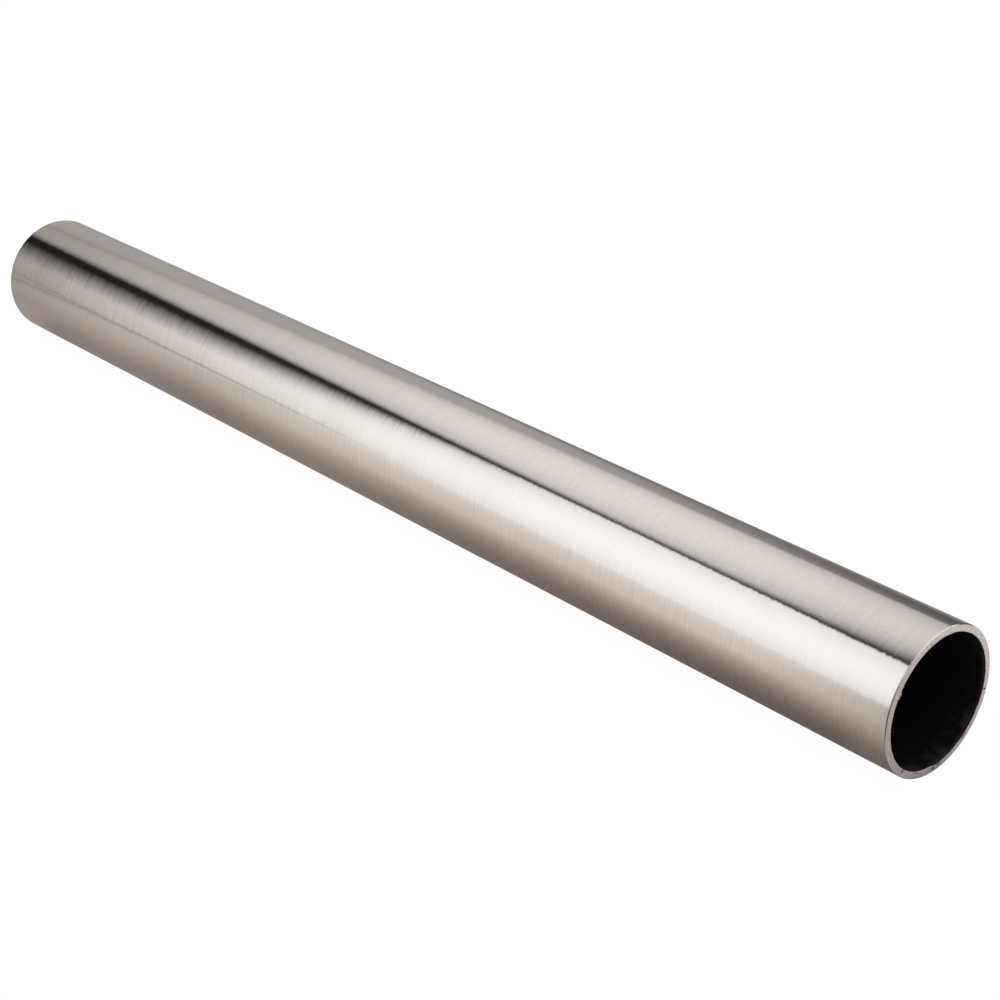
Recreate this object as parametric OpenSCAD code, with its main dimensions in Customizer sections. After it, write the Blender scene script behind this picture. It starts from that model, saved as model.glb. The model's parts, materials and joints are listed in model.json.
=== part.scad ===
// Closet rod: one length of welded steel tube, brushed and nickel plated outside, bare inside.
// The rod lies along X, with the origin on its axis halfway between its two cut ends.

/* [Rod] */
// Outside diameter of the rod
rod_diameter = 33.34; // [16:0.01:60]
// Length of the rod from one cut end to the other
rod_length = 326; // [100:1:3660]
// Thickness of the steel wall
wall_thickness = 1.65; // [0.8:0.05:4]

/* [Cut ends] */
// Radius that polishing leaves on the outer edge of each end
outer_edge_radius = 0.3; // [0.05:0.05:0.6]
// Width of the chamfer that deburring leaves on the inner edge of each end
inner_edge_chamfer = 0.15; // [0.05:0.05:0.5]

/* [Hidden] */

// Facets of a full circle in a preview
$fn = 180;

outer_radius = rod_diameter / 2;
inner_radius = outer_radius - wall_thickness;
half_length = rod_length / 2;
nickel_colour = [0.74, 0.71, 0.68];

// Wall cut through lengthwise: x is the distance from the rod's axis, y runs along it
module wall_section() {
    difference() {
        union() {
            translate([inner_radius, outer_edge_radius - half_length])
                square([wall_thickness, rod_length - 2 * outer_edge_radius]);
            translate([inner_radius, -half_length])
                square([wall_thickness - outer_edge_radius, rod_length]);
            for (end = [-1, 1])
                translate([outer_radius - outer_edge_radius, end * (half_length - outer_edge_radius)])
                    circle(r = outer_edge_radius);
        }
        for (end = [-1, 1])
            translate([inner_radius, end * half_length])
                inner_edge_cutter();
    }
}

// Square set on its corner, which takes the inner edge off at 45 degrees
module inner_edge_cutter() {
    rotate(45)
        square(inner_edge_chamfer * sqrt(2), center = true);
}

// The whole rod: a plain round tube, open from end to end
module rod_tube() {
    color(nickel_colour)
        rotate([0, 90, 0])
            rotate_extrude()
                wall_section();
}

rod_tube();
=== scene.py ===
"""Looks of a closet rod: one length of steel tube, brushed and nickel plated outside, open at both ends.

Lengths are in metres and angles in degrees. The rod lies along X with its axis at the origin.
An angle round the rod is 0 on its -Y side, which faces the camera, 90 on top and 180 behind.
A bend is a value that changes smoothly from one to another: (first value, last value, where the change
starts, where it ends). It changes with x unless its comment says otherwise.
"""

import json
import math

import bmesh
import bpy
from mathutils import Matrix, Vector, noise

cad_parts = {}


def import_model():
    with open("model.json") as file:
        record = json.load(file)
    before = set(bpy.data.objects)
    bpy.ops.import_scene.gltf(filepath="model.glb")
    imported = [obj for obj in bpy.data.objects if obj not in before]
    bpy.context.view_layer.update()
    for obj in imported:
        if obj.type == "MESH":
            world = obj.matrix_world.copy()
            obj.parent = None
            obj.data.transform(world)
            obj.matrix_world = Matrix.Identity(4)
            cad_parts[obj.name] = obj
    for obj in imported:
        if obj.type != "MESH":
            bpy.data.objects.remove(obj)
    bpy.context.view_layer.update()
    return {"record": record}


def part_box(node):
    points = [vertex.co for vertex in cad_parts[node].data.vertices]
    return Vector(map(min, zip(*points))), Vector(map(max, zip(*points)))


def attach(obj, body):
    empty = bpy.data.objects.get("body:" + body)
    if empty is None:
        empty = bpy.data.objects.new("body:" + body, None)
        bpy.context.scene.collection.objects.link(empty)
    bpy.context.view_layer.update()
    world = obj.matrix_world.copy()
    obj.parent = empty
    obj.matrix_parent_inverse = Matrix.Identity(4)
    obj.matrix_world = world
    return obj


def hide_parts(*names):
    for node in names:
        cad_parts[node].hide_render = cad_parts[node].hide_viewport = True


MM = 0.001
WHITE = (1.0, 1.0, 1.0)

# The range that most of a noise's values lie in, and their middle
NOISE_RANGE = (0.3, 0.7)
NOISE_MIDDLE = 0.5

# Rod
CIRCLE_STEPS = 640
WALL_RING_SPACING = 10 * MM
EDGE_STEPS = 6
FACE_STEPS = 10
INNER_EDGE_STEPS = 3
FACE_CROWN = 0.05 * MM
INNER_EDGE = 0.05 * MM

# Distances from an end at which the wall and the bore have rings, besides the evenly spaced ones
WALL_GUARDS = (2 * MM, 0.5 * MM, 0.1 * MM, 0)
BORE_GUARDS = (0.15 * MM, 0.5 * MM, 1.5 * MM, 4 * MM)

# Roughness of the bore's edges: its height and length, the distances from the edge over which it ends, how
# far apart in the noise the two ends lie, and the share and fineness of its smaller bumps
BURR_HEIGHT = 0.045 * MM
BURR_LENGTH = 0.8 * MM
WEAR_REACH = (0.15 * MM, 0.45 * MM)
ENDS_APART = 3
SMALL_BUMP_SHARE = 0.5
SMALL_BUMP_FINENESS = 2.7

# Map that the bake uses: each rectangle's lowest and highest V
BAKE_RECTANGLES = {
    "wall": (0.01, 0.35),
    "bore": (0.37, 0.68),
    "right_rim": (0.7, 0.78),
    "left_rim": (0.8, 0.88),
}
BAKE_MARGIN = 0.01
BAKE_SEAM_STEP = CIRCLE_STEPS // 4
RIM_ROWS = EDGE_STEPS + FACE_STEPS + INNER_EDGE_STEPS + 1

# Burrs that stand into the bore at the near end: angle, half width in degrees, height. Beyond the burrs'
# reach, no point moves.
NEAR_END_BURRS = ((27.8, 3.6, 0.7 * MM), (276.0, 6.0, 0.14 * MM), (336.0, 3.0, 0.1 * MM))
NEAR_END_BURRS_REACH = 1.5 * MM

# Dark marks on the near end's cut face and outer edge: angle, half width in degrees, place across the
# wall (0 at the bore, 1 outside), half width across it, how dark. A mark is full up to the start of its
# fade, as a share of its half width.
NEAR_END_MARKS = (
    (27.4, 1.5, 0.06, 0.16, 1.0),
    (191.9, 1.0, 0.45, 0.32, 1.0),
    (231.0, 4.0, 0.28, 0.2, 0.55),
    (262.5, 1.9, 0.32, 0.22, 0.8),
    (269.0, 1.7, 0.4, 0.22, 0.9),
    (291.0, 5.0, 0.14, 0.1, 0.55),
    (310.2, 1.3, 0.25, 0.3, 0.9),
    (73.0, 1.6, 0.5, 0.4, 0.15),
    # This mark darkens a stretch along the top of the outer edge.
    (113.0, 13.0, 0.97, 0.14, 0.85),
)
MARK_FADE = 0.5
MARKED_DEPTH = 2 * MM

# Dirt along the bore's edge where the deburring tool didn't reach: the angles between which it widens
# and between which it ends, how far it reaches across the wall at its widest and at least, how ragged it
# is, its bumps for each degree, and the width at which it is fully dark
DIRT_WIDENS = (100.0, 240.0)
DIRT_ENDS = (264.0, 272.0)
DIRTY_EDGE_REACH = 0.25
DIRTY_EDGE_LEAST = 0.01
DIRT_RAGGED = 0.5
DIRT_BUMPS = 0.4
DIRT_FULL_WIDTH = 0.1

# Metals, as linear colours
NICKEL = (0.70, 0.655, 0.615)
CUT_STEEL = (0.662, 0.60, 0.58)
BORE_MOUTH = (0.06, 0.054, 0.0525)
BORE_MOUTH_DEPTH = 0.8 * MM
DIRT = (0.012, 0.009, 0.009)
BORE_BLACK = (0.0042, 0.0037, 0.0037)

# Dust and a painted reflection, low in the bore near its ends: how much brighter they are than the black,
# how far in from the ends they thin out, and the heights, as shares of the bore's radius, between which
# they lie, with the share that is left above
DUST_AND_REFLECTION_TONE = 6.0
DUST_AND_REFLECTION_REACH = (1 * MM, 6 * MM)
DUST_AND_REFLECTION_HEIGHTS = (-0.85, -0.25, 1.0, 0.3)

# Bore: bumps in a metre along x, y and z of its drawn lines and of its dust and painted reflection, the
# noise values between which these lie, and the least and most of them, the lines' tone and the roughness
DRAWN_LINES = (60.0, 2500.0, 2500.0)
DUST_AND_REFLECTION_GRAINS = (300.0, 350.0, 350.0)
DUST_AND_REFLECTION_CLUMPS = (0.4, 0.62, 0.1, 1.0)
DRAWN_TONE = (0.6, 1.4)
BORE_ROUGHNESS = (0.55, 0.75)
BORE_SPECULAR = 0.06

# Outer edge of each end: its dents' size, bump and depth, and the least and most of its tone and roughness
DENT_SIZE = 0.5 * MM
DENT_BUMP = 0.3
DENT_DEPTH = 0.02 * MM
EDGE_TONE = (0.95, 1.05)
EDGE_ROUGHNESS = (0.2, 0.28)

# Cut face: size of the tool marks across the wall and along y and z, size of the grit and its share of the
# marks, their bump and depth, and the least and most of its tone and roughness
TOOL_MARKS = (0.25 * MM, 1.3 * MM, 1.3 * MM)
GRIT_SIZE = 0.5 * MM
GRIT_SHARE = 0.6
RIM_BUMP = 0.9
RIM_DEPTH = 0.04 * MM
RIM_TONE = (0.6, 1.4)
RIM_ROUGHNESS = (0.38, 0.52)

# Brushing. Each kind of line is (spacing along the rod, length round it, how far it leans, detail).
# GRAIN_TONE is a bend over z. Of the feathers' slopes, the first value of FEATHERS_ABOVE is left on top of
# the rod, and they calm between its two heights.
FINE_LINES = (0.3 * MM, 9 * MM, 0.02, 2.0)
STROKES = (0.45 * MM, 10 * MM, -0.03, 2.0)
FEATHERS = (0.55 * MM, 5 * MM, 0.05, 2.0)
GRAIN = (0.22 * MM, 0.7 * MM, 0.0, 1.0)
PATCHES = (9 * MM, 25 * MM, 0.0, 1.0)
CLUSTERS = (4 * MM, 30 * MM, 0.0, 1.0)
SCRATCHES = (0.5 * MM, 14 * MM, 0.12, 0.0)
NICKEL_ROUGHNESS = 0.1305
NICKEL_ANISOTROPY = 0.728
LINE_TONE = 0.2
LINE_ROUGHNESS = 0.02
PATCH_TONE = 0.02
GRAIN_TONE = (0.04, 0.085, 13 * MM, 15 * MM)
SCRATCH_TONE = 0.04
SCRATCHES_FROM = (0.74, 0.8)
STROKE_LEAN = 0.02
PATCH_LEAN = 0.006
FEATHER_LEAN = (0.06, 0.02, -0.11, -0.02)
FEATHERS_ABOVE = (0.3, 12.7 * MM, 13.4 * MM)

# How strongly the lines show: least on the polished front, more below it and on top (how much more, and
# the heights over which that changes), times a share that differs from cluster to cluster
LINES_AT_LEAST = 0.12
LINES_BELOW = (0.5, 4 * MM, 8 * MM)
LINES_AT_BOTTOM = (1.6, -9 * MM, -4 * MM)
LINES_ON_TOP = (0.15, 10 * MM, 13 * MM)
CLUSTER_SHARES = (0.35, 0.65, 0.6, 1.4)

# Camera, as worked out from the photograph's outline and end ellipses
CAMERA_PLACE = (0.36698, -0.3018, 0.2207)
CAMERA_AZIMUTH = 47.82
CAMERA_ELEVATION = 26.46
CAMERA_LENS_MM = 75.68
CAMERA_SENSOR_MM = 36
CAMERA_NEAREST = 0.01

# Studio
STUDIO_RADIUS = 0.7
STUDIO_DARKNESS = (0.0135, 0.01, 0.008)
BACKDROP_RADIUS = 6.5
BACKDROP_SEGMENTS = 64
CLOTH_STEPS = 150
CLOTH_STEPS_ACROSS = 48

# Floor that the camera sees: nearly white by itself, with a faint shadow under the overhead light. It and
# the floor that the rod mirrors lie a little below the rod.
FLOOR_SIZE = 14
FLOOR_DROP = 0.2 * MM
MIRRORED_FLOOR_DROP = 0.1 * MM
FLOOR_GLOW = 0.985
FLOOR_PAPER = 0.07
MOTTLES_PER_METRE = 9.0
MOTTLE_TONE = (0.995, 1.005)
OVERHEAD_HEIGHT = 1.6
OVERHEAD_SIZE = 3.0
OVERHEAD_RADIANCE = 1.5

# Floor as the rod mirrors it, a sheet that glows with painted light and painted shade: its light far off,
# the distance at which half of that is left, how fast it rises, and the nearest distance that counts
FLOOR_LIGHT = 1.454
FLOOR_HALF_LIGHT = 0.039
FLOOR_RISE_POWER = 0.356
FLOOR_NEAREST = 0.004

# What the rod takes from that light towards its near end: the share, the distances in front of the rod
# over which the loss ends and those behind the rod's axis. Behind the axis the light is FLOOR_BEHIND times
# as much. A soft shade under the rod is (depth, place along y, half width).
FLOOR_END_LOSS = (0.0, 0.756, -0.337, 0.156)
FLOOR_END_REACH = (0.008, 0.055)
FLOOR_END_BACK = (0.0, 10 * MM)
FLOOR_BEHIND = (1.95, 0.43, -0.5, 0.0)
FLOOR_BEHIND_FROM = (0.0, 1 * MM)
UNDER_ROD_SHADE = (0.09, -16.5 * MM, 8 * MM)

# Clear floor beyond the near end: where it starts along x and along y, and its light, as (y where that
# starts to change, y where it ends, light before, light after)
CLEAR_FLOOR = (0.1625, 0.1645)
CLEAR_FLOOR_FROM = (-30 * MM, -12 * MM)
CLEAR_FLOOR_LIGHT = (25 * MM, 50 * MM, 0.8, 1.05)

# Tints of the mirrored floor's painted light near the rod and far from it, the warm one standing for light
# that the nickel throws back onto the floor, the distances between which it cools, and how much of the
# warmth there is along the rod
WARM_BOUNCE_LIGHT = (1.165, 1.0, 0.905)
COOL_FLOOR = (1.03, 1.0, 0.965)
WARM_REACH = (0.018, 0.12)
LEFT_WARMTH = (0.55, 1.0, -0.13, -0.03)

# Floor by the rod's ends, where the rod hides less light from it: where that starts and is full along the
# rod and how much more light there is, and the distances in front of the rod over which it ends
OPEN_FLOOR = ((0.145, 0.151, 0.2), (-0.156, -0.167, 0.36))
OPEN_FLOOR_REACH = (14 * MM, 32 * MM)

# Shades in front of the near end, whose edges slant: depth, slant, start and stop across them, and the
# distances in front of the rod over which they set in
END_SHADES = (
    (0.2, 0.55, 0.125, 0.168, 30 * MM, 46 * MM),
    (0.84, 0.55, 0.166, 0.195, 18 * MM, 34 * MM),
)

# Table's edge, as the rod mirrors it: the direction across it in degrees, its distance from the rod's
# middle, dark strips along it (depth, half width, place across it), and the share of the light that is
# lost beyond it, with the distance over which that happens
TABLE_EDGE_ANGLE = 44.4
TABLE_EDGE_DISTANCE = 0.147
TABLE_EDGE_STRIPS = ((0.558, 0.114, 0.028), (0.33, 0.009, -0.011), (0.13, 0.02, -0.1))
BEYOND_TABLE = (0.879, 0.236)

# Front cloth: its ends along x, the angles of its lower and upper edge, each the sum of two bends, the
# angles over which its light fades in from them, and its light. Beyond the near end, over FRONT_BEYOND, the
# light changes to FRONT_BEYOND_LIGHT times as much, which is a bend over the angle. A cloth's tints are
# its left and right colour, and where along x one changes to the other.
FRONT_ENDS = (-1.65, 1.5)
FRONT_LOW = (0.7, -1.86, -0.78, -0.68)
FRONT_LOW_SAG = (-1.4, 0.0, -1.05, -0.78)
FRONT_HIGH = (66.4, 62.7, -0.465, -0.182)
FRONT_HIGH_RISE = (3.3, 0.0, -1.06, -0.93)
FRONT_LOWER_FADE = (0.22, 19.5, -0.235, -0.205)
FRONT_LOWER_LOSS = 0.5
FRONT_UPPER_FADE = (38.0, 1.01, -0.913, -0.514)
FRONT_FADE_POWER = 1.085
FRONT_LIGHT = (0.087, 1.406, -1.532, -0.506)
FRONT_END_LOSS = (0.0, 0.6, -0.244, 0.0)
FRONT_DOME = 0.184
FRONT_BEYOND = (0.0, 0.12)
FRONT_BEYOND_LIGHT = (0.5, 2.1, 25.0, 50.0)
FRONT_TINTS = ((1.052, 1.0, 0.955), (0.962, 1.0, 1.016), (-1.1, -0.62))

# Top cloth, which ends at a gap behind it, and is lit more beyond the rod's near end. The angle over which
# its light fades in from the lower edge is given at places along x.
TOP_ENDS = (-2.2, 1.7)
TOP_LOW = (87.8, 66.0, -1.612, -0.243)
TOP_LOW_SAG = (0.0, -3.4, -0.32, 0.0)
TOP_LOWER_FADE = (
    (-1.0, 16.0),
    (-0.65, 8.75),
    (-0.3, 10.5),
    (-0.215, 35.0),
    (-0.13, 58.0),
    (0.0, 58.0),
    (0.12, 25.0),
)
TOP_LIGHT = (0.318, 1.05, -1.376, -0.471)
TOP_END_LOSS = (0.0, 0.221, -0.425, -0.124)
TOP_DOME = (0.12, 0.344, -1.1, -0.65)
TOP_BEYOND = (1.0, 1.45, -0.1, 0.1)
TOP_TINTS = ((1.03, 1.0, 0.972), (1.015, 1.0, 0.993), (-1.1, -0.6))

# Gap between the top and back cloths: the angle of its middle at places along x, and its width
GAP_MIDDLE = ((-2.2, 98.0), (-1.12, 127.0), (-0.7, 145.0), (-0.42, 151.5), (-0.24, 155.3), (0.3, 163.5))
GAP_WIDTH = (2.4, 0.1, -1.1, -0.5)

# Back cloth, down to the floor, with more light beyond the near end and a loss towards the floor
BACK_ENDS = (-2.2, 1.7)
BACK_LIGHT = (0.462, 0.0, -0.608, 0.024)
BACK_BEYOND = (0.0, 0.8, -0.06, 0.12)
BACK_LOSS = (0.06, 0.33, -0.65, -0.3)
BACK_FADE = 23.5
BACK_TINTS = ((1.04, 1.0, 0.975), (1.09, 1.0, 0.985), (-0.6, -0.25))

# Cloths far off beyond the rod's ends, which a view along the rod sees mirrored in it
FAR_ENDS = {"left_cloth": (-5.0, -2.9), "right_cloth": (2.9, 5.0)}
FAR_EDGES = (2.0, 178.0)
FAR_LIGHT = 0.42
FAR_DOME = 0.5
FAR_TINTS = ((1.05, 1.0, 0.96), (1.05, 1.0, 0.96), (-1.0, 1.0))


def clamped(value):
    """The value, held between 0 and 1."""
    return min(max(value, 0), 1)


def smooth_step(value, low, high):
    """0 below low, 1 above high, and a smooth rise between them."""
    share = clamped((value - low) / (high - low))
    return share * share * (3 - 2 * share)


def bend_at(bend, x):
    """A bend's value at x."""
    first, last, start, stop = bend
    return first + (last - first) * smooth_step(x, start, stop)


def line_at(points, x):
    """The value at x on a line through points given as (x, value)."""
    for (start, first), (stop, second) in zip(points, points[1:]):
        if x <= stop:
            return first + (second - first) * clamped((x - start) / (stop - start))
    return points[-1][1]


class Graph:
    """A node tree, with a short method for each kind of step."""

    def __init__(self, owner):
        owner.use_nodes = True
        self.tree = owner.node_tree
        self.tree.nodes.clear()

    def add(self, kind, inputs=None, **settings):
        """Adds a node. inputs maps a socket's name or number to a value or to another node's output."""
        made = self.tree.nodes.new(kind)
        for name, value in settings.items():
            setattr(made, name, value)
        for name, value in (inputs or {}).items():
            self.feed(made.inputs[name], value)
        return made

    def feed(self, socket, value):
        """Links another node's output to a socket, or sets the socket's own value."""
        if isinstance(value, bpy.types.NodeSocket):
            self.tree.links.new(value, socket)
        else:
            socket.default_value = value

    def place(self):
        """The place on the piece, in metres, as x, y and z."""
        inside = self.add("ShaderNodeTexCoord").outputs["Object"]
        return self.add("ShaderNodeSeparateXYZ", {0: inside}).outputs

    def math(self, operation, *values):
        """The result of one step of arithmetic."""
        return self.add("ShaderNodeMath", dict(enumerate(values)), operation=operation).outputs[0]

    def product(self, *values):
        """All the values multiplied."""
        result = values[0]
        for value in values[1:]:
            result = self.math("MULTIPLY", result, value)
        return result

    def vector(self, operation, *values):
        """The result of one step of vector arithmetic."""
        return self.add("ShaderNodeVectorMath", dict(enumerate(values)), operation=operation).outputs[0]

    def scale(self, vector, value):
        """A vector or a colour times a value."""
        return self.add("ShaderNodeVectorMath", {0: vector, "Scale": value}, operation="SCALE").outputs[0]

    def join(self, x, y, z):
        """A vector from its three parts."""
        return self.add("ShaderNodeCombineXYZ", {0: x, 1: y, 2: z}).outputs[0]

    def remap(self, value, low, high, to_low, to_high, smooth=False):
        """A value moved from one range to another, and held inside it."""
        inputs = {"Value": value, "From Min": low, "From Max": high, "To Min": to_low, "To Max": to_high}
        kind = "SMOOTHSTEP" if smooth else "LINEAR"
        return self.add("ShaderNodeMapRange", inputs, interpolation_type=kind).outputs["Result"]

    def bend(self, x, bend):
        """A bend's value at x."""
        first, last, start, stop = bend
        return self.remap(x, start, stop, first, last, smooth=True)

    def noise(self, place, detail=2.0):
        """A smooth noise's value at a place, from 0 to 1."""
        inputs = {"Vector": place, "Scale": 1.0, "Detail": detail}
        return self.add("ShaderNodeTexNoise", inputs, noise_dimensions="3D").outputs["Fac"]

    def surface(self, shader):
        """Makes a shader the material's surface."""
        self.add("ShaderNodeOutputMaterial", {0: shader.outputs[0]})

    def blend(self, share, first, second):
        """A colour between two, by a share from 0 to 1."""
        made = self.add("ShaderNodeMix", data_type="RGBA")
        for name, value in (("Factor_Float", share), ("A_Color", first), ("B_Color", second)):
            socket = next(s for s in made.inputs if s.identifier == name)
            self.feed(socket, value)
        return next(s for s in made.outputs if s.identifier == "Result_Color")


# The tube's mesh


def tube_sizes(record):
    """Half length, wall radius, bore radius and edge radius, from the CAD's box and mounts."""
    low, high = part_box("rod_tube")
    mounts = {mount["name"]: mount["dims"] for mount in record["mounts"]}
    length = high.x - low.x
    outside, bore = mounts["right_end_outside"], mounts["right_end_bore"]
    return {
        "half": length / 2,
        "outer": outside["r_mm"] * MM,
        "inner": bore["r_mm"] * MM,
        "edge": (length - outside["length_mm"] * MM) / 2,
    }


def wall_points(size):
    """(distance in from the end, radius) of the outer wall's rings, from its middle to the edge's start."""
    flat = size["half"] - size["edge"]
    count = round(flat / WALL_RING_SPACING)
    insets = [flat * (1 - i / count) for i in range(count)] + list(WALL_GUARDS)
    return [(size["edge"] + inset, size["outer"]) for inset in insets]


def edge_points(size):
    """The rounded outer edge, from the wall to the cut face."""
    turns = [math.pi / 2 * (i + 1) / EDGE_STEPS for i in range(EDGE_STEPS)]
    centre = size["outer"] - size["edge"]
    return [(size["edge"] * (1 - math.sin(t)), centre + size["edge"] * math.cos(t)) for t in turns]


def face_points(size):
    """The cut face, from the outer edge to the inner one. Deburring left its outside a little lower."""
    top = size["outer"] - size["edge"]
    width = top - size["inner"] - INNER_EDGE
    shares = [1 - (i + 1) / FACE_STEPS for i in range(FACE_STEPS)]
    return [(FACE_CROWN * share**2, top - width * (1 - share)) for share in shares]


def inner_edge_points(size):
    """The inner edge, hardly broken."""
    shares = [step / INNER_EDGE_STEPS for step in range(1, INNER_EDGE_STEPS + 1)]
    return [(INNER_EDGE * share, size["inner"] + INNER_EDGE * (1 - share)) for share in shares]


def bore_points(size):
    """The bore's rings, from the inner edge to the middle."""
    flat = size["half"] - INNER_EDGE
    count = round(flat / WALL_RING_SPACING)
    insets = list(BORE_GUARDS) + [flat * (i + 1) / count for i in range(count)]
    return [(INNER_EDGE + inset, size["inner"]) for inset in insets]


def half_profile(size):
    """One end's points as (inset, radius, part), from the wall's middle to the bore's."""
    parts = [("wall", wall_points(size)), ("edge", edge_points(size)), ("rim", face_points(size))]
    parts += [("rim", inner_edge_points(size)), ("bore", bore_points(size))]
    return [(inset, radius, name) for name, points in parts for inset, radius in points]


def profile(size):
    """The closed section of the wall as (x, radius, part), clockwise from the wall's middle."""
    half = half_profile(size)
    right = [(size["half"] - inset, radius, name) for inset, radius, name in half]
    left = [(inset - size["half"], radius, name) for inset, radius, name in half]
    return right + left[-2:0:-1]


def from_edge(size, x, radius):
    """How far a point lies from the bore's nearest edge, along the rod or out from the bore."""
    return max(size["half"] - abs(x), radius - size["inner"])


def inner_edge_wear(size, x, radius, angle):
    """(shift along x, shift in radius) that the saw and the deburring left near the bore's edges."""
    end = math.copysign(1, x)
    reach = 1 - smooth_step(from_edge(size, x, radius), *WEAR_REACH)
    if reach <= 0:
        return 0, 0
    spot = Vector((end * ENDS_APART, math.cos(angle), math.sin(angle))) * (size["inner"] / BURR_LENGTH)
    rough = noise.noise(spot) + SMALL_BUMP_SHARE * noise.noise(spot * SMALL_BUMP_FINENESS)
    return -end * abs(rough) * BURR_HEIGHT * reach, rough * BURR_HEIGHT * reach


def turn_between(angle, middle):
    """Degrees between two angles."""
    return abs((angle - middle + 180) % 360 - 180)


def near_end_burr(size, x, radius, degrees):
    """How far the burrs at the near end bring a point in."""
    if x < 0 or from_edge(size, x, radius) > NEAR_END_BURRS_REACH:
        return 0
    shift = 0
    for middle, half_width, height in NEAR_END_BURRS:
        away = turn_between(degrees, middle) / half_width
        if away < 1:
            fade = 1 - smooth_step(from_edge(size, x, radius), 0, 2 * height + 2 * INNER_EDGE)
            shift -= height * (1 - away) * fade
    return shift


def near_end_dirt(size, x, radius, degrees):
    """How dark the dirt and marks make the near end's cut face or outer edge at a point, from 0 to 1."""
    if size["half"] - x > MARKED_DEPTH:
        return 0
    across = (radius - size["inner"]) / (size["outer"] - size["inner"])
    wide = smooth_step(degrees, *DIRT_WIDENS) * (1 - smooth_step(degrees, *DIRT_ENDS))
    ragged = 1 + DIRT_RAGGED * noise.noise(Vector((degrees * DIRT_BUMPS, 0, 0)))
    dirt = 1 - smooth_step(across, 0, max(DIRTY_EDGE_REACH * wide * ragged, DIRTY_EDGE_LEAST))
    dirt *= smooth_step(wide, 0, DIRT_FULL_WIDTH)
    for middle, half_width, place, half_height, dark in NEAR_END_MARKS:
        away = max(turn_between(degrees, middle) / half_width, abs(across - place) / half_height)
        dirt = max(dirt, dark * (1 - smooth_step(away, MARK_FADE, 1)))
    return dirt


def build_tube(size):
    """The tube as one closed mesh: wall, rounded edges, cut faces, inner edges and bore."""
    section = profile(size)
    mesh = bmesh.new()
    dirt_layer = mesh.verts.layers.float.new("Dirt")
    rings = []
    for x, radius, _ in section:
        ring = []
        for step in range(CIRCLE_STEPS):
            angle = 2 * math.pi * step / CIRCLE_STEPS
            along, out = inner_edge_wear(size, x, radius, angle)
            r = radius + out + near_end_burr(size, x, radius, math.degrees(angle))
            vertex = mesh.verts.new((x + along, -r * math.cos(angle), r * math.sin(angle)))
            vertex[dirt_layer] = near_end_dirt(size, x, radius, math.degrees(angle))
            ring.append(vertex)
        rings.append(ring)
    skin_tube(mesh, section, rings, size)
    bmesh.ops.recalc_face_normals(mesh, faces=mesh.faces)
    made = bpy.data.meshes.new("rod")
    mesh.to_mesh(made)
    mesh.free()
    tube = bpy.data.objects.new("rod", made)
    bpy.context.scene.collection.objects.link(tube)
    return tube


def skin_tube(mesh, section, rings, size):
    """Fills the mesh between the rings, with the brush's map and the map that the bake uses."""
    part_slot = {"wall": 0, "edge": 1, "rim": 2, "bore": 3}
    travel = section_travel(section)
    brush = mesh.loops.layers.uv.new("Brush")
    bake = mesh.loops.layers.uv.new("OFBake")
    for i, (chart, first, last) in enumerate(bake_rows(section, size)):
        ring, after = rings[i], rings[(i + 1) % len(rings)]
        slot = part_slot[row_name(section, i)]
        for step in range(CIRCLE_STEPS):
            turn = (step + 1) % CIRCLE_STEPS
            face = mesh.faces.new((ring[step], after[step], after[turn], ring[turn]))
            face.material_index = slot
            face.smooth = True
            column = (step + BAKE_SEAM_STEP) % CIRCLE_STEPS / CIRCLE_STEPS
            turned = column + 1 / CIRCLE_STEPS
            start, stop = travel[i], travel[i + 1]
            brushed = ((start, column), (stop, column), (stop, turned), (start, turned))
            baked = ((first, column), (last, column), (last, turned), (first, turned))
            for loop, brush_place, (share, around) in zip(face.loops, brushed, baked):
                loop[brush].uv = brush_place
                loop[bake].uv = bake_place(chart, share, around)


def bake_rows(section, size):
    """For each row of faces: its rectangle in the bake's map, and where it starts and ends across that."""
    rows = []
    run = 0
    for i, (x, _, _) in enumerate(section):
        part = row_name(section, i)
        x_after = section[(i + 1) % len(section)][0]
        if part in ("wall", "bore"):
            run = 0
            rows.append((part, *((place + size["half"]) / (2 * size["half"]) for place in (x, x_after))))
        else:
            side = "right_rim" if x > 0 else "left_rim"
            rows.append((side, run / RIM_ROWS, (run + 1) / RIM_ROWS))
            run += 1
    return rows


def bake_place(chart, share, around):
    """A point's place in the bake's map. Along the rod runs along U, and so does the way round a rim."""
    low, high = BAKE_RECTANGLES[chart]
    along, across = (share, around) if chart in ("wall", "bore") else (around, share)
    return BAKE_MARGIN + (1 - 2 * BAKE_MARGIN) * along, low + (high - low) * across


def row_name(section, i):
    """The part that the faces between point i and the next one belong to."""
    names = [section[i][2], section[(i + 1) % len(section)][2]]
    return next(name for name in ("rim", "edge", "wall", "bore") if name in names)


def section_travel(section):
    """How far along the section each point lies, as a share of its whole length, closed with 1."""
    points = [Vector((x, radius)) for x, radius, _ in section]
    travel = [0.0]
    for here, after in zip(points, points[1:] + points[:1]):
        travel.append(travel[-1] + (after - here).length)
    return [value / travel[-1] for value in travel]


# Materials


def brush_lines(graph, lines):
    """Brush lines round the rod, 0 to 1."""
    spacing, length, lean, detail = lines
    x, y, z = graph.place()
    leaning = graph.math("MULTIPLY_ADD", graph.math("ADD", y, z), lean, x)
    units = ((leaning, spacing), (y, length), (z, length))
    scaled = [graph.math("DIVIDE", value, unit) for value, unit in units]
    return graph.noise(graph.join(*scaled), detail)


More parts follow.
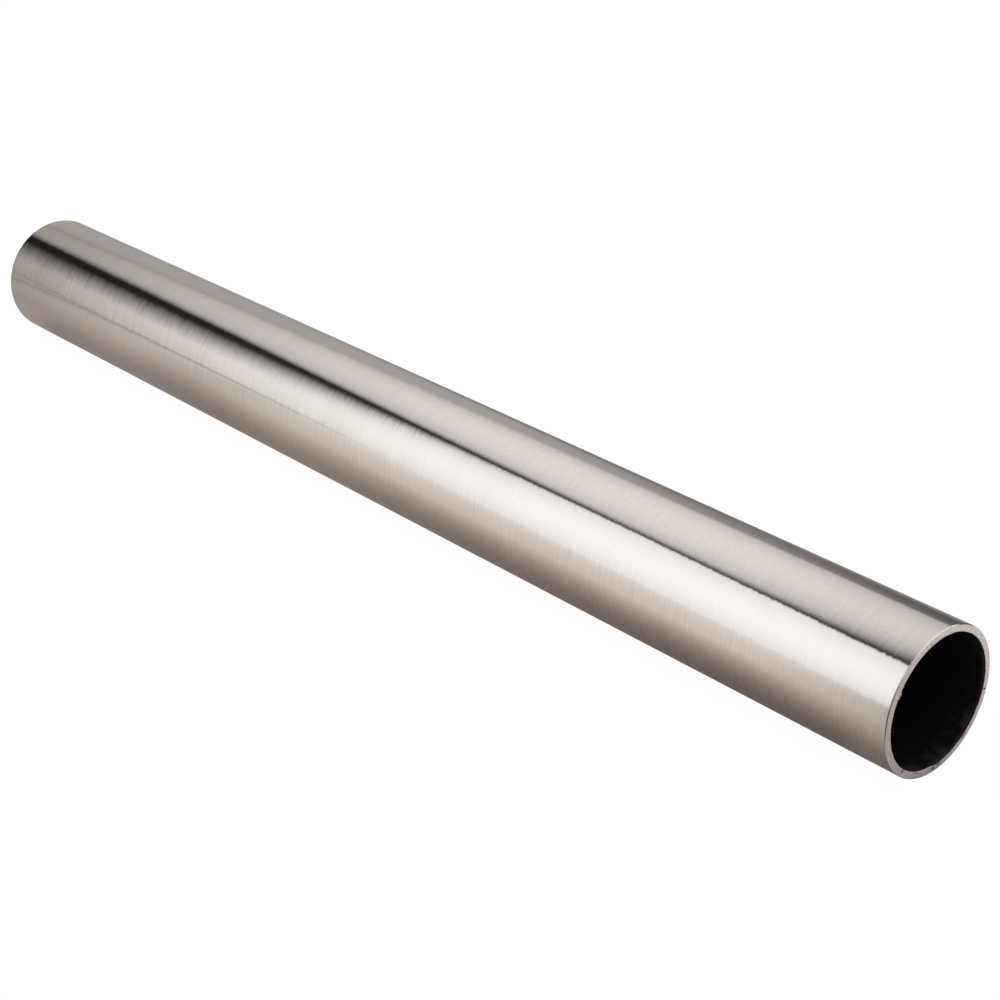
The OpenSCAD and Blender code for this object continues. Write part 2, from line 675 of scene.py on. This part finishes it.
def line_strength(graph):
    """How strongly the brush lines show at a place."""
    z = graph.place()[2]
    strength = LINES_AT_LEAST
    for more, start, stop in (LINES_BELOW, LINES_AT_BOTTOM):
        strength = graph.math("ADD", strength, graph.remap(z, start, stop, more, 0.0, smooth=True))
    more, start, stop = LINES_ON_TOP
    strength = graph.math("ADD", strength, graph.remap(z, start, stop, 0.0, more, smooth=True))
    return graph.product(strength, graph.remap(brush_lines(graph, CLUSTERS), *CLUSTER_SHARES))


def leaning_normal(graph, along, around):
    """The surface's normal, leant along the rod and round it by two small slopes."""
    normal = graph.add("ShaderNodeNewGeometry").outputs["Normal"]
    along_rod = graph.add("ShaderNodeTangent", direction_type="UV_MAP", uv_map="Brush").outputs[0]
    around_rod = graph.vector("CROSS_PRODUCT", along_rod, normal)
    leant = graph.vector("ADD", normal, graph.scale(along_rod, along))
    leant = graph.vector("ADD", leant, graph.scale(around_rod, around))
    return graph.vector("NORMALIZE", leant), along_rod


def from_middle(graph, lines):
    """A kind of brush lines, measured from their middle."""
    return graph.math("SUBTRACT", brush_lines(graph, lines), NOISE_MIDDLE)


def nickel_tone(graph, lines, patch):
    """The nickel's tone, round 1: brush lines, grain, patches and scratches."""
    tone = graph.math("MULTIPLY_ADD", graph.product(lines, line_strength(graph)), 2 * LINE_TONE, 1.0)
    grain_tone = graph.product(graph.bend(graph.place()[2], GRAIN_TONE), 2.0)
    tone = graph.math("MULTIPLY_ADD", from_middle(graph, GRAIN), grain_tone, tone)
    scratch = graph.remap(brush_lines(graph, SCRATCHES), *SCRATCHES_FROM, 0, SCRATCH_TONE, smooth=True)
    return graph.math("ADD", graph.math("MULTIPLY_ADD", patch, 2 * PATCH_TONE, tone), scratch)


def nickel_slopes(graph, patch):
    """The small slopes that brushing left, along the rod and round it."""
    along = graph.remap(brush_lines(graph, STROKES), 0.0, 1.0, -STROKE_LEAN, STROKE_LEAN)
    along = graph.math("MULTIPLY_ADD", patch, 2 * PATCH_LEAN, along)
    x, _, z = graph.place()
    left_on_top, start, stop = FEATHERS_ABOVE
    calmer = graph.remap(z, start, stop, 1.0, left_on_top, smooth=True)
    return along, graph.product(from_middle(graph, FEATHERS), 2.0, graph.bend(x, FEATHER_LEAN), calmer)


def brushed_nickel():
    """Satin nickel, brushed round the rod: it mirrors sharply round itself and softly along itself."""
    material = bpy.data.materials.new("brushed_nickel")
    graph = Graph(material)
    lines = from_middle(graph, FINE_LINES)
    patch = from_middle(graph, PATCHES)
    normal, along_rod = leaning_normal(graph, *nickel_slopes(graph, patch))
    shader = graph.add(
        "ShaderNodeBsdfPrincipled",
        {
            "Base Color": graph.scale(NICKEL, nickel_tone(graph, lines, patch)),
            "Metallic": 1.0,
            "Roughness": graph.math("MULTIPLY_ADD", lines, 2 * LINE_ROUGHNESS, NICKEL_ROUGHNESS),
            "Anisotropic": NICKEL_ANISOTROPY,
            "Tangent": along_rod,
            "Normal": normal,
        },
    )
    graph.surface(shader)
    return material


def worn_edge():
    """The plated outer edge of each end, polished and dented a little by handling, and darker in places at
    the near end.
    """
    material = bpy.data.materials.new("worn_edge")
    graph = Graph(material)
    x, y, z = graph.place()
    dents = graph.noise(graph.scale(graph.join(x, y, z), 1 / DENT_SIZE))
    bump = graph.add("ShaderNodeBump", {"Strength": DENT_BUMP, "Distance": DENT_DEPTH, "Height": dents})
    dirt = graph.add("ShaderNodeAttribute", attribute_name="Dirt").outputs["Fac"]
    clean = graph.scale(NICKEL, graph.remap(dents, *NOISE_RANGE, *EDGE_TONE))
    shader = graph.add(
        "ShaderNodeBsdfPrincipled",
        {
            "Base Color": graph.blend(dirt, clean, (*DIRT, 1.0)),
            "Metallic": 1.0,
            "Roughness": graph.remap(dents, *NOISE_RANGE, *EDGE_ROUGHNESS),
            "Normal": bump.outputs[0],
        },
    )
    graph.surface(shader)
    return material


def cut_rim():
    """Bare steel where the rod was cut and deburred: gritty, with tool marks and dirty nicks."""
    material = bpy.data.materials.new("cut_rim")
    graph = Graph(material)
    x, y, z = graph.place()
    radius = graph.math("SQRT", graph.math("ADD", graph.product(y, y), graph.product(z, z)))
    arcs = graph.noise(graph.vector("DIVIDE", graph.join(radius, y, z), TOOL_MARKS))
    grit = graph.noise(graph.scale(graph.join(x, y, z), 1 / GRIT_SIZE), detail=3.0)
    marks = graph.math("ADD", graph.product(arcs, 1 - GRIT_SHARE), graph.product(grit, GRIT_SHARE))
    bump = graph.add("ShaderNodeBump", {"Strength": RIM_BUMP, "Distance": RIM_DEPTH, "Height": marks})
    dirt = graph.add("ShaderNodeAttribute", attribute_name="Dirt").outputs["Fac"]
    clean = graph.scale(CUT_STEEL, graph.remap(marks, *NOISE_RANGE, *RIM_TONE))
    shader = graph.add(
        "ShaderNodeBsdfPrincipled",
        {
            "Base Color": graph.blend(dirt, clean, (*DIRT, 1.0)),
            "Metallic": 1.0,
            "Roughness": graph.remap(marks, *NOISE_RANGE, *RIM_ROUGHNESS),
            "Normal": bump.outputs[0],
        },
    )
    graph.surface(shader)
    return material


def bore_tone(graph, depth, size):
    """(drawn lines, tone) of the bore, with dust and a painted reflection low down near the ends."""
    x, y, z = graph.place()
    drawn = graph.noise(graph.vector("MULTIPLY", graph.join(x, y, z), DRAWN_LINES))
    dust_and_reflection_noise = graph.noise(graph.vector("MULTIPLY", graph.join(x, y, z), DUST_AND_REFLECTION_GRAINS), detail=3.0)
    # Brighter clumps low down near the ends: dust, and a painted reflection on the bore's lower wall
    dust_and_reflection_share = graph.product(
        graph.remap(dust_and_reflection_noise, *DUST_AND_REFLECTION_CLUMPS, smooth=True),
        graph.remap(depth, *DUST_AND_REFLECTION_REACH, 1.0, 0.0, smooth=True),
        graph.remap(graph.math("DIVIDE", z, size["inner"]), *DUST_AND_REFLECTION_HEIGHTS, smooth=True),
    )
    more = graph.math("MULTIPLY_ADD", dust_and_reflection_share, DUST_AND_REFLECTION_TONE, 1.0)
    return drawn, graph.product(graph.remap(drawn, *NOISE_RANGE, *DRAWN_TONE), more)


def dark_bore(size):
    """The unplated bore, black with oil and scale, with a paler mouth."""
    material = bpy.data.materials.new("dark_bore")
    graph = Graph(material)
    depth = graph.math("SUBTRACT", size["half"], graph.math("ABSOLUTE", graph.place()[0]))
    drawn, tone = bore_tone(graph, depth, size)
    mouth = graph.remap(depth, 0.0, BORE_MOUTH_DEPTH, 1.0, 0.0, smooth=True)
    shader = graph.add(
        "ShaderNodeBsdfPrincipled",
        {
            "Base Color": graph.blend(mouth, graph.scale(BORE_BLACK, tone), (*BORE_MOUTH, 1.0)),
            "Roughness": graph.remap(drawn, *NOISE_RANGE, *BORE_ROUGHNESS),
            "Specular IOR Level": BORE_SPECULAR,
        },
    )
    graph.surface(shader)
    return material


# Studio


def show_only(piece, camera=False, glossy=False, diffuse=False, shadow=False):
    """Limits the kinds of ray that meet a stage piece."""
    piece.visible_camera = camera
    piece.visible_glossy = glossy
    piece.visible_diffuse = diffuse
    piece.visible_shadow = shadow
    piece.visible_transmission = False
    piece.visible_volume_scatter = False


def add_stage(name, mesh, material, **rays):
    """Turns a mesh into a stage piece that only some kinds of ray meet."""
    made = bpy.data.meshes.new(name)
    mesh.to_mesh(made)
    mesh.free()
    made.materials.append(material)
    piece = bpy.data.objects.new(name, made)
    bpy.context.scene.collection.objects.link(piece)
    show_only(piece, **rays)
    return piece


def light_material(name, colour, strength):
    """A material that only gives light."""
    material = bpy.data.materials.new(name)
    graph = Graph(material)
    shader = graph.add("ShaderNodeEmission", {"Color": colour, "Strength": strength})
    graph.surface(shader)
    return material


def lit_cloth():
    """The cloths' material, which gives the light that their mesh carries."""
    material = bpy.data.materials.new("lit_cloth")
    graph = Graph(material)
    light = graph.add("ShaderNodeAttribute", attribute_name="Light").outputs["Color"]
    shader = graph.add("ShaderNodeEmission", {"Color": light})
    graph.surface(shader)
    return material


def domed(dome, low, high, angle):
    """The share of a cloth's light that is left at an angle, as it falls from the middle to both edges."""
    off_centre = 2 * (angle - low) / (high - low) - 1
    return 1 - dome * off_centre**2


def front_edges(x):
    """The front cloth's lowest and highest angle at x."""
    low = bend_at(FRONT_LOW, x) + bend_at(FRONT_LOW_SAG, x)
    return low, bend_at(FRONT_HIGH, x) + bend_at(FRONT_HIGH_RISE, x)


def front_light(x, angle):
    """The front cloth's light at x and an angle."""
    low, high = front_edges(x)
    lower = clamped((angle - low) / bend_at(FRONT_LOWER_FADE, x))
    upper = clamped((high - angle) / bend_at(FRONT_UPPER_FADE, x))
    light = bend_at(FRONT_LIGHT, x) * (1 - bend_at(FRONT_END_LOSS, x)) * upper**FRONT_FADE_POWER
    light *= 1 + (bend_at(FRONT_BEYOND_LIGHT, angle) - 1) * smooth_step(x, *FRONT_BEYOND)
    return light * (1 - FRONT_LOWER_LOSS * (1 - lower) ** 2) * domed(FRONT_DOME, low, high, angle)


def top_edges(x):
    """The top cloth's lowest and highest angle at x."""
    low = bend_at(TOP_LOW, x) + bend_at(TOP_LOW_SAG, x)
    return low, line_at(GAP_MIDDLE, x) - bend_at(GAP_WIDTH, x) / 2


def top_light(x, angle):
    """The top cloth's light at x and an angle."""
    low, high = top_edges(x)
    lower = clamped((angle - low) / line_at(TOP_LOWER_FADE, x))
    light = bend_at(TOP_LIGHT, x) * (1 - bend_at(TOP_END_LOSS, x)) * bend_at(TOP_BEYOND, x)
    return light * (1 - (1 - lower) ** 2) * domed(bend_at(TOP_DOME, x), low, high, angle)


def back_edges(x):
    """The back cloth's lowest and highest angle at x."""
    return line_at(GAP_MIDDLE, x) + bend_at(GAP_WIDTH, x) / 2, 180.0


def back_light(x, angle):
    """The back cloth's light at x and an angle."""
    low_part = smooth_step(angle, 180 - BACK_FADE, 180)
    return bend_at(BACK_LIGHT, x) * (1 - bend_at(BACK_LOSS, x) * low_part) + bend_at(BACK_BEYOND, x)


def far_edges(_):
    """A far cloth's lowest and highest angle, the same at every x."""
    return FAR_EDGES


def far_light(_, angle):
    """A far cloth's light at an angle, the same at every x."""
    return FAR_LIGHT * domed(FAR_DOME, *FAR_EDGES, angle)


def add_cloth(name, ends, edges, light, tints, material):
    """A cloth bent round the rod at the studio's radius, with its light in its mesh."""
    mesh = bmesh.new()
    layer = mesh.verts.layers.float_color.new("Light")
    left, right = ends
    grid = []
    for i in range(CLOTH_STEPS + 1):
        x = left + (right - left) * i / CLOTH_STEPS
        low, high = edges(x)
        tint = Vector(tints[0]).lerp(Vector(tints[1]), smooth_step(x, *tints[2]))
        row = []
        for j in range(CLOTH_STEPS_ACROSS + 1):
            angle = low + (high - low) * j / CLOTH_STEPS_ACROSS
            vertex = mesh.verts.new(round_rod(x, math.radians(angle)))
            vertex[layer] = (*(tint * max(light(x, angle), 0)), 1.0)
            row.append(vertex)
        grid.append(row)
    for here, after in zip(grid, grid[1:]):
        for j in range(CLOTH_STEPS_ACROSS):
            mesh.faces.new((here[j], after[j], after[j + 1], here[j + 1]))
    return add_stage(name, mesh, material, glossy=True)


def round_rod(x, angle):
    """A point at the studio's radius."""
    return x, -STUDIO_RADIUS * math.cos(angle), STUDIO_RADIUS * math.sin(angle)


def add_sheet(name, half_size, height, material, **rays):
    """A level square sheet under or over the rod."""
    mesh = bmesh.new()
    corners = ((-1, -1), (1, -1), (1, 1), (-1, 1))
    mesh.faces.new([mesh.verts.new((x * half_size, y * half_size, height)) for x, y in corners])
    return add_stage(name, mesh, material, **rays)


def pale_floor():
    """Nearly white paper with a very faint mottle, lit from below as well as from above."""
    material = bpy.data.materials.new("pale_floor")
    graph = Graph(material)
    mottle = graph.noise(graph.scale(graph.join(*graph.place()), MOTTLES_PER_METRE))
    tone = graph.remap(mottle, *NOISE_RANGE, *(share * FLOOR_PAPER for share in MOTTLE_TONE))
    paper = graph.add("ShaderNodeBsdfDiffuse", {"Color": graph.scale(WHITE, tone)})
    glow = graph.add("ShaderNodeEmission", {"Color": (*WHITE, 1.0), "Strength": FLOOR_GLOW})
    both = graph.add("ShaderNodeAddShader", {0: paper.outputs[0], 1: glow.outputs[0]})
    graph.surface(both)
    return material


def rod_shade(graph, x, y):
    """The share of the floor's light that the rod and the shades by its near end leave."""
    front = graph.math("MULTIPLY", y, -1.0)
    near_rod = graph.remap(front, *FLOOR_END_REACH, 1.0, 0.0, smooth=True)
    before_axis = graph.remap(y, *FLOOR_END_BACK, 1.0, 0.0, smooth=True)
    loss = graph.product(graph.bend(x, FLOOR_END_LOSS), near_rod, before_axis)
    shade = graph.math("SUBTRACT", 1.0, loss)
    depth, middle, width = UNDER_ROD_SHADE
    shade = graph.product(shade, strip_shade(graph, graph.math("SUBTRACT", y, middle), width, depth))
    for depth, slant, start, stop, near, far in END_SHADES:
        across = graph.math("MULTIPLY_ADD", front, slant, x)
        beyond = graph.remap(across, start, stop, 0.0, depth, smooth=True)
        beyond = graph.product(beyond, graph.remap(front, near, far, 0.0, 1.0, smooth=True))
        shade = graph.product(shade, graph.math("SUBTRACT", 1.0, beyond))
    by_rod = graph.remap(front, *OPEN_FLOOR_REACH, 1.0, 0.0, smooth=True)
    for start, stop, more in OPEN_FLOOR:
        open_end = graph.product(graph.remap(x, start, stop, 0.0, more), by_rod)
        shade = graph.product(shade, graph.math("ADD", open_end, 1.0))
    return shade


def strip_shade(graph, across, width, depth):
    """The share of the light that a soft dark strip leaves, at a distance across it."""
    away = graph.math("DIVIDE", across, width)
    strip = graph.math("EXPONENT", graph.math("MULTIPLY", graph.product(away, away), -1.0))
    return graph.math("MULTIPLY_ADD", strip, -depth, 1.0)


def table_edge_shade(graph, x, y):
    """The share of the floor's light that is left by the strips along the table's edge and beyond it."""
    turn = math.radians(TABLE_EDGE_ANGLE)
    across = graph.math("MULTIPLY_ADD", x, math.cos(turn), TABLE_EDGE_DISTANCE)
    across = graph.math("MULTIPLY_ADD", y, -math.sin(turn), across)
    loss, reach = BEYOND_TABLE
    shade = graph.remap(across, -reach, 0.0, 1.0 - loss, 1.0, smooth=True)
    for depth, width, place in TABLE_EDGE_STRIPS:
        shade = graph.product(shade, strip_shade(graph, graph.math("ADD", across, place), width, depth))
    return shade


def floor_light(graph, x, y, half):
    """(distance from the rod, the floor's light there before anything takes from it)."""
    beyond = graph.math("MAXIMUM", graph.math("SUBTRACT", graph.math("ABSOLUTE", x), half), 0.0)
    away = graph.math("SQRT", graph.math("ADD", graph.product(beyond, beyond), graph.product(y, y)))
    away = graph.math("MAXIMUM", away, FLOOR_NEAREST)
    rise = graph.math("POWER", graph.math("DIVIDE", away, FLOOR_HALF_LIGHT), FLOOR_RISE_POWER)
    return away, graph.product(graph.math("DIVIDE", rise, graph.math("ADD", rise, 1.0)), FLOOR_LIGHT)


def floor_in_rod(size):
    """The floor as the rod mirrors it, glowing with painted light: painted shade and warmth near the rod,
    and clear beyond its near end.
    """
    material = bpy.data.materials.new("floor_in_rod")
    graph = Graph(material)
    x, y, _ = graph.place()
    away, tone = floor_light(graph, x, y, size["half"])
    shade = graph.product(rod_shade(graph, x, y), table_edge_shade(graph, x, y))
    more = graph.math("SUBTRACT", graph.bend(x, FLOOR_BEHIND), 1.0)
    more = graph.math("MULTIPLY_ADD", more, graph.remap(y, *FLOOR_BEHIND_FROM, 0.0, 1.0), 1.0)
    shade = graph.product(shade, more)
    clear = graph.remap(x, *CLEAR_FLOOR, 0.0, 1.0, smooth=True)
    clear = graph.product(clear, graph.remap(y, *CLEAR_FLOOR_FROM, 0.0, 1.0, smooth=True))
    cleared = graph.remap(y, *CLEAR_FLOOR_LIGHT, smooth=True)
    shade = graph.math("ADD", shade, graph.product(clear, graph.math("SUBTRACT", cleared, shade)))
    # Painted warmth of light that the nickel throws back onto the floor near the rod
    near, far = (math.log(distance) for distance in WARM_REACH)
    warmth = graph.remap(graph.math("LOGARITHM", away, math.e), near, far, 1.0, 0.0)
    warmth = graph.product(warmth, graph.bend(x, LEFT_WARMTH), graph.math("SUBTRACT", 1.0, clear))
    colour = graph.blend(warmth, (*COOL_FLOOR, 1.0), (*WARM_BOUNCE_LIGHT, 1.0))
    shader = graph.add("ShaderNodeEmission", {"Color": colour, "Strength": graph.product(tone, shade)})
    graph.surface(shader)
    return material


def add_backdrop():
    """A pale dome that only the camera sees, behind the floor's edge."""
    mesh = bmesh.new()
    segments = {"u_segments": BACKDROP_SEGMENTS, "v_segments": BACKDROP_SEGMENTS // 2}
    bmesh.ops.create_uvsphere(mesh, radius=BACKDROP_RADIUS, **segments)
    return add_stage("backdrop", mesh, light_material("backdrop", (*WHITE, 1.0), 1.0), camera=True)


def add_studio(size):
    """The cloths, both floors, the overhead light, the backdrop and the dark beyond them."""
    ground = -size["outer"]
    cloth = lit_cloth()
    add_cloth("front_cloth", FRONT_ENDS, front_edges, front_light, FRONT_TINTS, cloth)
    add_cloth("top_cloth", TOP_ENDS, top_edges, top_light, TOP_TINTS, cloth)
    add_cloth("back_cloth", BACK_ENDS, back_edges, back_light, BACK_TINTS, cloth)
    for name, ends in FAR_ENDS.items():
        add_cloth(name, ends, far_edges, far_light, FAR_TINTS, cloth)
    half = FLOOR_SIZE / 2
    add_sheet("floor", half, ground - FLOOR_DROP, pale_floor(), camera=True, diffuse=True)
    add_sheet("floor_in_rod", half, ground - MIRRORED_FLOOR_DROP, floor_in_rod(size), glossy=True)
    overhead = light_material("overhead_light", (*WHITE, 1.0), OVERHEAD_RADIANCE)
    add_sheet("overhead_light", OVERHEAD_SIZE / 2, OVERHEAD_HEIGHT, overhead, diffuse=True)
    add_backdrop()
    world = bpy.data.worlds.new("studio")
    graph = Graph(world)
    shader = graph.add("ShaderNodeBackground", {"Color": (*STUDIO_DARKNESS, 1.0)})
    graph.add("ShaderNodeOutputWorld", {0: shader.outputs[0]})
    bpy.context.scene.world = world


def add_camera():
    """The camera, placed and aimed as in the photograph."""
    lens = bpy.data.cameras.new("camera")
    lens.lens = CAMERA_LENS_MM
    lens.sensor_width = CAMERA_SENSOR_MM
    lens.clip_start = CAMERA_NEAREST
    camera = bpy.data.objects.new("camera", lens)
    camera.location = CAMERA_PLACE
    camera.rotation_euler = (math.radians(90 - CAMERA_ELEVATION), 0, math.radians(CAMERA_AZIMUTH))
    bpy.context.scene.collection.objects.link(camera)
    bpy.context.scene.camera = camera


def set_picture():
    """Shows the light's values as they are."""
    view = bpy.context.scene.view_settings
    view.view_transform = "Standard"
    view.look = "None"


def main():
    """Dresses the rod, sets the studio round it, and places the camera."""
    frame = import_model()
    size = tube_sizes(frame["record"])
    tube = build_tube(size)
    for material in (brushed_nickel(), worn_edge(), cut_rim(), dark_bore(size)):
        tube.data.materials.append(material)
    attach(tube, "root")
    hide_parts("rod_tube")
    add_studio(size)
    add_camera()
    set_picture()


main()
